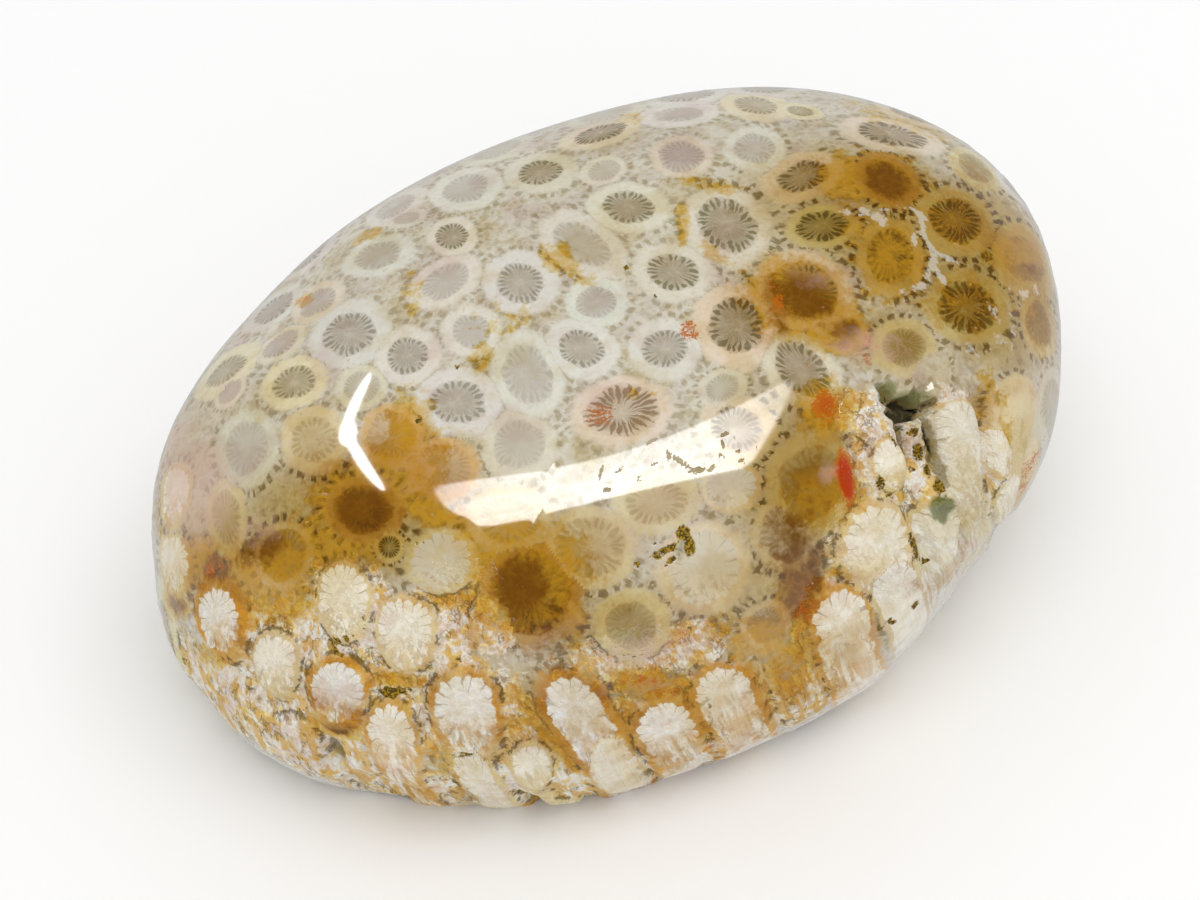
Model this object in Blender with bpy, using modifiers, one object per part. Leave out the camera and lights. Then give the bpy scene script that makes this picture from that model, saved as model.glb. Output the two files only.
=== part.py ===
"""Head of fossil coral, turned to agate: one solid stone, polished to a low dome.

Metres, +Z up. The origin is the middle of the flat ground base, +X runs along the
stone's length and +Y across it. The head is a flattened dome with a tight shoulder.
Its foot draws in a little below the widest level, and shallow grooves part the
ends of the corallite columns that stand bare round the foot.
"""
import math

import bmesh
import bpy
from mathutils import Matrix, Vector

MM = 0.001

# Driving dimensions of the dome
LENGTH = 90.0 * MM            # along X, at the widest level
WIDTH = 63.0 * MM             # along Y, at the widest level
HEIGHT = 43.0 * MM            # from the base to the crown
GIRTH_HEIGHT = 17.0 * MM      # height of the widest level above the base
UNDERCUT = 29.0 * MM          # depth of the lower curve, before the base cuts it
PLAN_POWER = 2.04             # 2 is an ellipse, more is squarer, seen from above
SHOULDER = 0.82               # 1 is an ellipse, less is squarer, seen from the side
EGG = 0.03                    # how much wider the +X end is than the -X end
BEND = 0.04                   # how far both ends curl towards +Y
LEAN = Vector((0.08, -0.08))  # sideways drift of each level per metre of height

# The cage that the smooth surface is drawn over
CAGE_CUTS = 11                # cuts across each face of the starting cube
SMOOTH_LEVELS = 1
CAGE_SWELL = 1.004            # makes up for what smoothing draws in

# Where the natural surface stands proud or falls back:
# bearing and elevation from the middle of the girth, spread and height
SWELLS = (
    (205.0, 2.0, 17.0, 0.6 * MM),
    (189.0, -28.0, 10.0, 0.5 * MM),
    (209.0, -38.0, 10.0, -0.6 * MM),
    (268.0, -8.0, 22.0, -0.4 * MM),
    (292.0, -30.0, 12.0, 0.5 * MM),
    (310.0, -12.0, 12.0, -1.0 * MM),
    (325.0, -8.0, 11.0, 0.9 * MM),
    (340.0, 18.0, 12.0, -0.6 * MM),
    (20.0, 10.0, 20.0, 0.4 * MM),
    (68.0, 40.0, 20.0, -0.4 * MM),
)

# Grooves between the bare columns round the foot: bearing, width and depth
GROOVES = (
    (198.0, 4.5, 0.7 * MM),
    (215.0, 4.0, 1.2 * MM),
    (229.0, 4.0, 0.7 * MM),
    (240.0, 4.0, 1.0 * MM),
    (256.0, 4.5, 0.8 * MM),
    (273.0, 4.5, 0.6 * MM),
    (290.0, 4.5, 0.8 * MM),
    (304.0, 4.0, 1.1 * MM),
    (317.0, 4.0, 1.2 * MM),
    (331.0, 4.0, 0.8 * MM),
    (352.0, 5.0, 0.6 * MM),
    (20.0, 5.5, 0.7 * MM),
    (48.0, 5.5, 0.8 * MM),
    (75.0, 5.5, 0.6 * MM),
    (101.0, 5.5, 0.8 * MM),
    (128.0, 5.5, 0.7 * MM),
    (154.0, 5.5, 0.8 * MM),
    (178.0, 5.0, 0.6 * MM),
)
GROOVE_TOP = 16.0             # elevation in degrees where the grooves have run out
GROOVE_FADE = 22.0            # degrees over which they deepen below that
GROOVE_SLANT = 0.35           # degrees of bearing that a groove turns per degree of drop

# Open clefts on the shoulder, where the columns have parted: bearing, elevation,
# half length, half width, half depth and turn from level, in degrees
CLEFTS = {
    "cleft_across": (303.0, 46.0, 2.6 * MM, 0.7 * MM, 1.5 * MM, 12.0),
    "cleft_down": (299.0, 38.0, 2.7 * MM, 0.6 * MM, 1.0 * MM, 96.0),
}
BEARING_STEP = 0.5            # degrees between the points that give a slope

# The stone itself
STONE_COLOUR = (0.66, 0.58, 0.43, 1.0)
STONE_ROUGHNESS = 0.16


def clear_scene():
    for thing in list(bpy.data.objects):
        bpy.data.objects.remove(thing, do_unlink=True)


def new_collection(name):
    group = bpy.data.collections.new(name)
    bpy.context.scene.collection.children.link(group)
    return group


def signed_power(value, power):
    return math.copysign(abs(value) ** power, value)


def turn_between(bearing, other):
    """Smallest angle from one bearing to another, in degrees."""
    return (bearing - other + 180.0) % 360.0 - 180.0


def bell(distance, spread):
    return math.exp(-((distance / spread) ** 2))


def plan_radius(bearing):
    """Distance from the axis to the girth, seen from above."""
    along = abs(math.cos(bearing)) / (LENGTH / 2)
    across = abs(math.sin(bearing)) / (WIDTH / 2)
    return (along ** PLAN_POWER + across ** PLAN_POWER) ** (-1 / PLAN_POWER)


def relief(bearing, elevation):
    """Height of the swells and grooves over the plain dome, at angles in degrees."""
    height = 0.0
    for swell_bearing, swell_elevation, spread, rise in SWELLS:
        aside = turn_between(bearing, swell_bearing) * math.cos(math.radians(elevation))
        height += rise * bell(math.hypot(aside, elevation - swell_elevation), spread)
    depth = min(max((GROOVE_TOP - elevation) / GROOVE_FADE, 0.0), 1.0)
    drop = GROOVE_SLANT * (GROOVE_TOP - elevation)
    for groove_bearing, width, deepest in GROOVES:
        height -= deepest * depth * bell(turn_between(bearing, groove_bearing + drop), width)
    return height


def stone_point(direction):
    """Point of the stone's surface that lies over a direction of the unit sphere."""
    bearing = math.atan2(direction.y, direction.x)
    elevation = math.asin(max(-1.0, min(1.0, direction.z)))
    reach = math.cos(elevation) ** SHOULDER
    girth = plan_radius(bearing) * reach
    x = girth * math.cos(bearing)
    y = girth * math.sin(bearing) * (1 + EGG * x / (LENGTH / 2))
    rise = HEIGHT - GIRTH_HEIGHT if elevation > 0 else UNDERCUT
    z = rise * signed_power(math.sin(elevation), SHOULDER)
    point = Vector((x, y + BEND * x * x / (LENGTH / 2), z))
    point += direction * relief(math.degrees(bearing), math.degrees(elevation))
    point.x += LEAN.x * point.z
    point.y += LEAN.y * point.z
    return point * CAGE_SWELL + Vector((0, 0, GIRTH_HEIGHT))


def make_cage(name, group):
    """A cut cube, blown up to a ball and drawn out to the stone's shape."""
    shape = bmesh.new()
    bmesh.ops.create_cube(shape, size=2.0)
    bmesh.ops.subdivide_edges(shape, edges=shape.edges[:], cuts=CAGE_CUTS, use_grid_fill=True)
    for vertex in shape.verts:
        even = Vector([math.tan(part * math.pi / 4) for part in vertex.co])
        vertex.co = stone_point(even.normalized())
    mesh = bpy.data.meshes.new(name)
    shape.to_mesh(mesh)
    shape.free()
    stone = bpy.data.objects.new(name, mesh)
    group.objects.link(stone)
    smooth = stone.modifiers.new("smooth_surface", "SUBSURF")
    smooth.levels = SMOOTH_LEVELS
    smooth.render_levels = SMOOTH_LEVELS
    return stone


def hide_cutter(cutter):
    cutter.hide_render = True
    cutter.display_type = "WIRE"


def make_ground_cutter(group):
    """Everything below the flat base."""
    shape = bmesh.new()
    bmesh.ops.create_cube(shape, size=2 * LENGTH)
    mesh = bpy.data.meshes.new("below_the_base")
    shape.to_mesh(mesh)
    shape.free()
    cutter = bpy.data.objects.new("below_the_base", mesh)
    cutter.location.z = -LENGTH
    group.objects.link(cutter)
    hide_cutter(cutter)
    return cutter


def direction_to(bearing, elevation):
    """Unit vector for angles in degrees."""
    turn = math.radians(bearing)
    climb = math.radians(elevation)
    level = math.cos(climb)
    return Vector((math.cos(turn) * level, math.sin(turn) * level, math.sin(climb)))


def surface_frame(bearing, elevation):
    """Point on the stone, with axes that run level, up the slope and outward."""
    middle = stone_point(direction_to(bearing, elevation))
    level = stone_point(direction_to(bearing + BEARING_STEP, elevation)) - middle
    upward = stone_point(direction_to(bearing, elevation + BEARING_STEP)) - middle
    outward = level.cross(upward).normalized()
    level.normalize()
    axes = Matrix((level, outward.cross(level), outward)).transposed()
    return Matrix.Translation(middle) @ axes.to_4x4()


def make_cleft_cutter(name, group):
    """A lens that opens a cleft, half sunk in the surface."""
    bearing, elevation, half_length, half_width, half_depth, turn = CLEFTS[name]
    size = Matrix.Diagonal((half_length, half_width, half_depth, 1.0))
    shape = bmesh.new()
    bmesh.ops.create_uvsphere(shape, u_segments=20, v_segments=12, radius=1.0, matrix=size)
    mesh = bpy.data.meshes.new(name)
    shape.to_mesh(mesh)
    shape.free()
    cutter = bpy.data.objects.new(name, mesh)
    turned = Matrix.Rotation(math.radians(turn), 4, "Z")
    cutter.matrix_world = surface_frame(bearing, elevation) @ turned
    group.objects.link(cutter)
    hide_cutter(cutter)
    return cutter


def cut(stone, cutter, name):
    boolean = stone.modifiers.new(name, "BOOLEAN")
    boolean.operation = "DIFFERENCE"
    boolean.object = cutter


def polished_stone():
    material = bpy.data.materials.new("agatized_coral")
    material.use_nodes = True
    shader = material.node_tree.nodes["Principled BSDF"]
    shader.inputs["Base Color"].default_value = STONE_COLOUR
    shader.inputs["Roughness"].default_value = STONE_ROUGHNESS
    shader.inputs["Metallic"].default_value = 0.0
    return material


def main():
    clear_scene()
    stones = new_collection("fossil_coral_head")
    cutters = new_collection("cutters")
    head = make_cage("coral_head", stones)
    for cleft in CLEFTS:
        cut(head, make_cleft_cutter(cleft, cutters), cleft)
    cut(head, make_ground_cutter(cutters), "flat_base")
    head.data.materials.append(polished_stone())
    head.data.shade_smooth()


main()
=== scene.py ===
import math
import random

import bmesh
import bpy
import numpy as np
from mathutils import Matrix, Vector
from mathutils.bvhtree import BVHTree


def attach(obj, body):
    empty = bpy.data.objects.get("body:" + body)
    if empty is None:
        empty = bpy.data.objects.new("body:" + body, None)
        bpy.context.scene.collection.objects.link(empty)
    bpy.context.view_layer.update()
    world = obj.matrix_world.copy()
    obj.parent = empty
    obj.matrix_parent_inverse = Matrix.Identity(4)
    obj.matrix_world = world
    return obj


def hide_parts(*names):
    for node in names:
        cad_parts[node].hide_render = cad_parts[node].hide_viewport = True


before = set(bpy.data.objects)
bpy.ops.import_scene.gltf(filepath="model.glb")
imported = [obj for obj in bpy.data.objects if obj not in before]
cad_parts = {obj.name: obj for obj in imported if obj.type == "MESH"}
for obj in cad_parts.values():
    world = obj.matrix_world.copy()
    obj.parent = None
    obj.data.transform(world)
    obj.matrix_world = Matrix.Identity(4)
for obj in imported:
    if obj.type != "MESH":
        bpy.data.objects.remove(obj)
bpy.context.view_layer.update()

MM = 0.001
NODE = "coral_head"
TRIPLE = "FLOAT_VECTOR"        # the name that attributes and nodes have for three numbers

# ---------------------------------------------------------------- the view
# The camera looks down on the stone from its lower left, through a long lens.
# Places on the stone are given as seen in this view, in a frame 1200 wide and
# 900 high, and are cast through the camera onto the stone.
VIEW_WIDE, VIEW_HIGH = 1200.0, 900.0
VIEW_AZIMUTH = math.radians(-29.8)
VIEW_ELEVATION = math.radians(50.0)
VIEW_TARGET = Vector((-2.6, -0.7, 18.0)) * MM
VIEW_DISTANCE = 276.5 * MM
LENS_MM = 90.0
SENSOR_MM = 36.0

VIEW_BACK = Vector((
    math.sin(VIEW_AZIMUTH) * math.cos(VIEW_ELEVATION),
    -math.cos(VIEW_AZIMUTH) * math.cos(VIEW_ELEVATION),
    math.sin(VIEW_ELEVATION),
))
VIEW_RIGHT = Vector((math.cos(VIEW_AZIMUTH), math.sin(VIEW_AZIMUTH), 0.0))
VIEW_UP = VIEW_BACK.cross(VIEW_RIGHT)
VIEW_EYE = VIEW_TARGET + VIEW_BACK * VIEW_DISTANCE
VIEW_FOCAL = LENS_MM / SENSOR_MM * VIEW_WIDE

# ---------------------------------------------------------------- the tubes
# The tubes spread from one point far below the stone, so they lean a little
# towards the viewer's left and run almost side by side.
TUBE_FOCUS = Vector((286.0, 139.0, -882.0)) * MM
TUBE_MIDDLE = Vector((0.0, 0.0, 25.0)) * MM
TUBE_AXIS = (TUBE_MIDDLE - TUBE_FOCUS).normalized()
TUBE_REACH = (TUBE_MIDDLE - TUBE_FOCUS).length
PLAN_ALONG = Vector((1, 0, 0)) - TUBE_AXIS * TUBE_AXIS.x
PLAN_ALONG.normalize()
PLAN_ACROSS = TUBE_AXIS.cross(PLAN_ALONG)


# ---------------------------------------------------------------- small tools
def colour(code, tone=0.84):
    """Linear colour of a web code such as C8B464, a little deep for the bright studio."""
    parts = [int(code[k:k + 2], 16) / 255 for k in (0, 2, 4)]
    return tuple(tone * (p / 12.92 if p <= 0.04045 else ((p + 0.055) / 1.055) ** 2.4)
                 for p in parts)


def view_ray(x, y):
    """Direction from the eye through a place in the view."""
    aside = VIEW_RIGHT * (x - VIEW_WIDE / 2) - VIEW_UP * (y - VIEW_HIGH / 2)
    return (aside / VIEW_FOCAL - VIEW_BACK).normalized()


def plan_of(point):
    """Where the tube through a point crosses the plane square to the tubes, in mm."""
    arm = point - TUBE_FOCUS
    stretch = TUBE_REACH / arm.dot(TUBE_AXIS) / MM
    return Vector((arm.dot(PLAN_ALONG), arm.dot(PLAN_ACROSS))) * stretch


class Wire:
    """A value in a node tree, so that sums can be written as sums."""

    def __init__(self, tree, socket):
        self.tree = tree
        self.socket = socket

    def node(self, kind, inputs=(), out=0, **settings):
        return add_node(self.tree, kind, inputs, out, **settings)

    def sum(self, operation, *others):
        return self.node("ShaderNodeMath", (self, *others), operation=operation)

    def __add__(self, other):
        return self.sum("ADD", other)

    def __sub__(self, other):
        return self.sum("SUBTRACT", other)

    def __mul__(self, other):
        return self.sum("MULTIPLY", other)

    def __truediv__(self, other):
        return self.sum("DIVIDE", other)

    def __rsub__(self, other):
        return self.node("ShaderNodeMath", (other, self), operation="SUBTRACT")

    __radd__ = __add__
    __rmul__ = __mul__

    def lowest(self, other):
        return self.sum("MINIMUM", other)

    def highest(self, other):
        return self.sum("MAXIMUM", other)

    def power(self, other):
        return self.sum("POWER", other)

    def clip(self):
        return self.node("ShaderNodeClamp", (self,))

    def step(self, low, high):
        """0 below low and 1 above high, smoothly; falls where high is under low."""
        if isinstance(low, (int, float)) and isinstance(high, (int, float)) and low > high:
            return 1.0 - self.step(high, low)
        return self.node("ShaderNodeMapRange", (self, low, high, 0.0, 1.0),
                         interpolation_type="SMOOTHSTEP")

    def arrow(self, operation, *others):
        return self.node("ShaderNodeVectorMath", (self, *others), operation=operation)

    def times(self, factor):
        wire = self.node("ShaderNodeVectorMath", (self,), operation="SCALE")
        plug(self.tree, wire.socket.node.inputs["Scale"], factor)
        return wire

    def dot(self, other):
        return self.arrow("DOT_PRODUCT", other)

    def under(self, amount, top, mode="MIX"):
        """This colour with another laid over it."""
        return blend(self.tree, amount, self, top, mode)

    def parts(self):
        split = self.node("ShaderNodeSeparateXYZ", (self,)).socket.node
        return [Wire(self.tree, socket) for socket in split.outputs]


def plug(tree, socket, value):
    if isinstance(value, Wire):
        tree.links.new(value.socket, socket)
    elif value is not None:
        socket.default_value = value


def add_node(tree, kind, inputs=(), out=0, **settings):
    """A node with its inputs filled in order, or by name from a dict."""
    node = tree.nodes.new(kind)
    for name, value in settings.items():
        setattr(node, name, value)
    if isinstance(inputs, dict):
        for name, value in inputs.items():
            plug(tree, node.inputs[name], value)
    else:
        live = [socket for socket in node.inputs if socket.enabled]
        for socket, value in zip(live, inputs):
            plug(tree, socket, value)
    if not node.outputs:
        return node
    live = [socket for socket in node.outputs if socket.enabled]
    return Wire(tree, node.outputs[out] if isinstance(out, str) else live[out])


def new_growth(name, inputs):
    """A geometry tree with named inputs; gives the tree and a wire for each input."""
    tree = bpy.data.node_groups.new(name, "GeometryNodeTree")
    tree.interface.new_socket(name="Geometry", in_out="INPUT", socket_type="NodeSocketGeometry")
    tree.interface.new_socket(name="Geometry", in_out="OUTPUT", socket_type="NodeSocketGeometry")
    for label, kind in inputs.items():
        tree.interface.new_socket(name=label, in_out="INPUT", socket_type="NodeSocket" + kind)
    entry = tree.nodes.new("NodeGroupInput")
    wires = {label: Wire(tree, entry.outputs[label]) for label in ("Geometry", *inputs)}
    return tree, wires


def new_thing(name, data):
    """An object made from its data and put in the scene."""
    thing = bpy.data.objects.new(name, data)
    bpy.context.scene.collection.objects.link(thing)
    return thing


def write_layer(mesh, name, values):
    """Stores a number or a triple on each point of a mesh."""
    values = np.array(values, np.float32)
    triple = values.size == 3 * len(mesh.vertices)
    layer = mesh.attributes.new(name, TRIPLE if triple else "FLOAT", "POINT")
    layer.data.foreach_set("vector" if triple else "value", values.ravel())


def close_growth(tree, geometry, material):
    """Ends a tree with real geometry and its material."""
    real = add_node(tree, "GeometryNodeRealizeInstances", {"Geometry": geometry})
    dressed = add_node(tree, "GeometryNodeSetMaterial", {"Geometry": real, "Material": material})
    exit_node = tree.nodes.new("NodeGroupOutput")
    plug(tree, exit_node.inputs[0], dressed)


def grow(source, tree, values, name):
    """Runs a tree over an object and gives the result as a plain new object."""
    modifier = source.modifiers.new(tree.name, "NODES")
    modifier.node_group = tree
    for item in tree.interface.items_tree:
        if item.in_out == "INPUT" and item.name in values:
            modifier[item.identifier] = values[item.name]
    source.update_tag()
    bpy.context.view_layer.update()
    graph = bpy.context.evaluated_depsgraph_get()
    mesh = bpy.data.meshes.new_from_object(source.evaluated_get(graph))
    source.modifiers.remove(modifier)
    return new_thing(name, mesh)


def drop(thing):
    """Removes a helper object and its mesh."""
    mesh = thing.data
    bpy.data.objects.remove(thing)
    bpy.data.meshes.remove(mesh)


def named_value(tree, name, kind="FLOAT"):
    return add_node(tree, "GeometryNodeInputNamedAttribute", {"Name": name}, data_type=kind)


def store(tree, geometry, name, value, kind, domain, where=None):
    return add_node(
        tree, "GeometryNodeStoreNamedAttribute",
        {"Geometry": geometry, "Name": name, "Value": value, "Selection": where},
        data_type=kind, domain=domain,
    )


# ---------------------------------------------------------------- the skin
# A fine even net drawn over the solid, with the facets smoothed away.
NET = (150, 110, 120)          # points along the three edges of the starting box
NET_EYE = Vector((0.0, 0.0, 17.0)) * MM
NET_LIFT = 0.5                 # crowds the net towards the dome
SMOOTHING = 45
KEEP = 0.2 * MM                # clefts and edges that smoothing would move more stay


def solid_copy():
    """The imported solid, with its loose triangles joined."""
    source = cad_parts[NODE]
    shape = bmesh.new()
    shape.from_mesh(source.data)
    bmesh.ops.remove_doubles(shape, verts=shape.verts, dist=0.001 * MM)
    mesh = bpy.data.meshes.new("solid_copy")
    shape.to_mesh(mesh)
    shape.free()
    return new_thing("solid_copy", mesh)


def skin_growth():
    inputs = {"Solid": "Object", "Points X": "Int", "Points Y": "Int", "Points Z": "Int",
              "Eye": "Vector", "Lift": "Float", "Smoothing": "Int", "Keep": "Float",
              "Material": "Material"}
    tree, wires = new_growth("stone_skin", inputs)
    solid = add_node(tree, "GeometryNodeObjectInfo", {"Object": wires["Solid"]}, out="Geometry",
                     transform_space="ORIGINAL")
    net = add_node(tree, "GeometryNodeMeshCube", {
        "Size": (2.0, 2.0, 2.0), "Vertices X": wires["Points X"],
        "Vertices Y": wires["Points Y"], "Vertices Z": wires["Points Z"]}, out="Mesh")
    place = add_node(tree, "GeometryNodeInputPosition")
    lift = add_node(tree, "ShaderNodeCombineXYZ", (0.0, 0.0, wires["Lift"]))
    outward = place.arrow("ADD", lift).arrow("NORMALIZE")
    landed = add_node(tree, "GeometryNodeRaycast", {
        "Target Geometry": solid, "Source Position": wires["Eye"],
        "Ray Direction": outward, "Ray Length": 1.0}, out="Hit Position")
    draped = add_node(tree, "GeometryNodeSetPosition", {"Geometry": net, "Position": landed})
    even = add_node(tree, "GeometryNodeBlurAttribute",
                    {"Value": place, "Iterations": wires["Smoothing"]}, data_type=TRIPLE)
    moved = even.arrow("DISTANCE", place)
    kept = moved.step(wires["Keep"], wires["Keep"] * 3.0)
    settled = even.arrow("ADD", place.arrow("SUBTRACT", even).times(kept))
    smooth = add_node(tree, "GeometryNodeSetPosition", {"Geometry": draped, "Position": settled})
    close_growth(tree, smooth, wires["Material"])
    return tree


def make_skin():
    solid = solid_copy()
    values = {"Solid": solid, "Points X": NET[0], "Points Y": NET[1], "Points Z": NET[2],
              "Eye": NET_EYE, "Lift": NET_LIFT, "Smoothing": SMOOTHING, "Keep": KEEP}
    carrier = new_thing("skin_carrier", bpy.data.meshes.new("skin_carrier"))
    skin = grow(carrier, skin_growth(), values, "skin")
    drop(carrier)
    drop(solid)
    return skin


# ---------------------------------------------------------------- the cups
# What a cup looks like. Colours: its floor, the gaps between its septa, its wall.
# Form: how dark the gaps stand, how far it has turned to chalky petals, how milky.
# Cut: how far in the gaps reach, how wide they are, how far the wall is a rusty halo.
# Last, how wide the wall reaches against the cup, and how far it trails down the flank.
KINDS = {
    "dark":   ("B6A88E", "7E7650", "EAE3CE", (0.85, 0.0, 0.05), (0.62, 0.40, 0.0), 1.50, 0.0),
    "grey":   ("BEB4A4", "8E8870", "EAE6DA", (0.80, 0.0, 0.15), (0.66, 0.35, 0.0), 1.52, 0.0),
    "plain":  ("CAC2B4", "A7A18C", "EBE7DA", (0.55, 0.0, 0.45), (0.66, 0.30, 0.0), 1.55, 0.0),
    "faint":  ("CCC4AE", "B2A98C", "E6DFC8", (0.55, 0.0, 0.50), (0.62, 0.35, 0.0), 1.45, 0.0),
    "lilac":  ("C2B2A8", "9A8A74", "E8DCC0", (0.55, 0.0, 0.35), (0.62, 0.30, 0.0), 1.35, 0.0),
    "cream":  ("BDB08C", "8C835C", "EEE2B6", (0.80, 0.0, 0.20), (0.62, 0.40, 0.0), 1.62, 0.0),
    "rosy":   ("B09E7E", "746640", "ECDCBE", (0.90, 0.0, 0.10), (0.58, 0.42, 0.0), 1.50, 0.0),
    "lens":   ("CFBDA6", "93795A", "F0DAC4", (0.85, 0.0, 0.00), (0.28, 0.50, 0.0), 1.32, 0.0),
    "peach":  ("DCBE92", "B8925E", "EABA74", (0.50, 0.0, 0.30), (0.62, 0.35, 0.0), 1.30, 0.0),
    "olive":  ("B0A060", "66581A", "E0D296", (0.90, 0.0, 0.05), (0.50, 0.50, 0.0), 1.38, 0.0),
    "moss":   ("B09C50", "8C7A30", "E6D8A4", (0.40, 0.0, 0.35), (0.55, 0.35, 0.0), 1.50, 0.0),
    "ochre":  ("BCA862", "7C6614", "DCCA92", (0.90, 0.0, 0.00), (0.42, 0.55, 0.0), 1.42, 0.0),
    "brown":  ("A07826", "5A3C04", "C49A3C", (0.70, 0.0, 0.00), (0.35, 0.45, 0.0), 1.30, 0.0),
    "sandy":  ("D4C094", "A08850", "E6D4A6", (0.60, 0.15, 0.15), (0.60, 0.40, 0.0), 1.40, 0.0),
    "frost":  ("DCD4C0", "8E8670", "EADEB4", (0.70, 0.9, 0.10), (0.50, 0.40, 0.0), 1.28, 0.0),
    "petal":  ("FFFCF4", "A8906A", "E6C482", (0.60, 1.0, 0.00), (0.40, 0.35, 1.0), 1.36, 0.15),
    "tail":   ("FFFFFF", "A8906A", "E0B464", (0.60, 1.0, 0.00), (0.40, 0.35, 1.0), 1.40, 0.55),
    "chalk":  ("FFF8E6", "B49E74", "F0DCA4", (0.50, 1.0, 0.10), (0.45, 0.35, 0.3), 1.22, 0.2),
    "fan":    ("FFF8E8", "AC9670", "E4B860", (0.60, 1.0, 0.00), (0.40, 0.35, 0.7), 1.26, 0.45),
    "crumb":  ("F6E4CA", "B89C70", "E2CBA0", (0.30, 1.0, 0.0), (0.45, 0.35, -1.0), 1.10, 0.5),
    "knob":   ("FFFCF0", "B49E74", "E8D8A8", (0.40, 1.0, 0.05), (0.45, 0.35, 0.15), 1.18, 0.6),
    "column": ("FCF6E6", "A4946C", "E8DAAC", (0.50, 1.0, 0.10), (0.45, 0.35, 0.1), 1.14, 0.78),
    "rib":    ("F0DCA8", "D4B878", "ECDCB0", (0.25, 0.0, 0.10), (0.15, 0.60, 0.0), 1.16, 0.75),
}
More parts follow.
